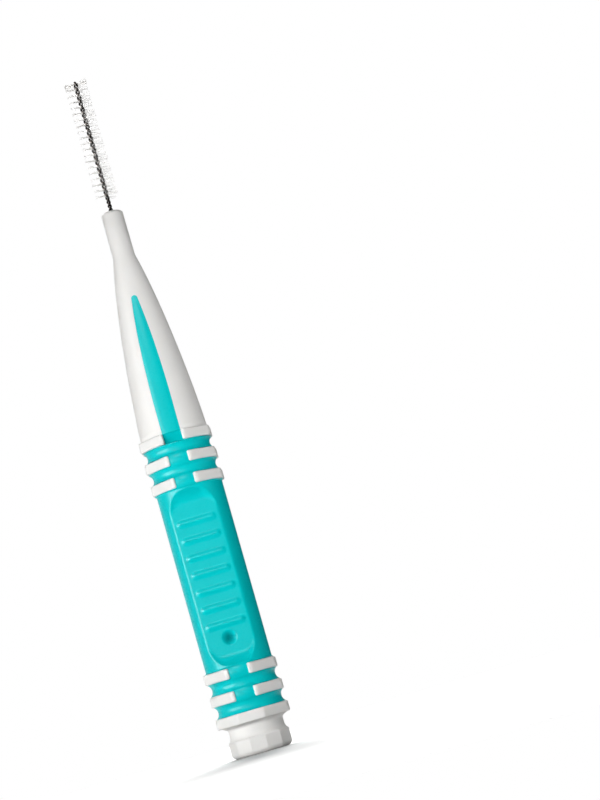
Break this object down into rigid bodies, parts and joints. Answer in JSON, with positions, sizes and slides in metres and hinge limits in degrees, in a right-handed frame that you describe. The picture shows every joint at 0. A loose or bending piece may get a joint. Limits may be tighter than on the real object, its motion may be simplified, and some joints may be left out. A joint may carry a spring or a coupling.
{
  "type": "eyelash brush",
  "caption": "Slim hand brush: clear nylon strands in a fine twisted wire, on a white moulded handle with a soft teal grip, ribbed ends, ridged thumb pads and a faceted foot.",
  "frame": {"origin": "centre of the foot's flat underside, on the tool's axis", "axes": "+Z along the tool from the foot to the brush tip, -Y towards the thumb pad that has the gate dimple, +X to the right of it"},
  "size_m": [0.0082, 0.0082, 0.08],
  "materials": {
    "white_plastic": "white polypropylene, moulded with a fine satin surface",
    "teal_elastomer": "teal thermoplastic elastomer, moulded smooth with a soft sheen",
    "steel_wire": "bright drawn stainless steel wire",
    "clear_nylon": "clear nylon monofilament with cut ends"
  },
  "bodies": {
    "root": {"handle_core": "white_plastic", "soft_grip": "teal_elastomer", "twisted_wire": "steel_wire", "lower_bristles": "clear_nylon", "middle_bristles": "clear_nylon", "upper_bristles": "clear_nylon", "tip_bristles": "clear_nylon"}
  },
  "joints": []
}
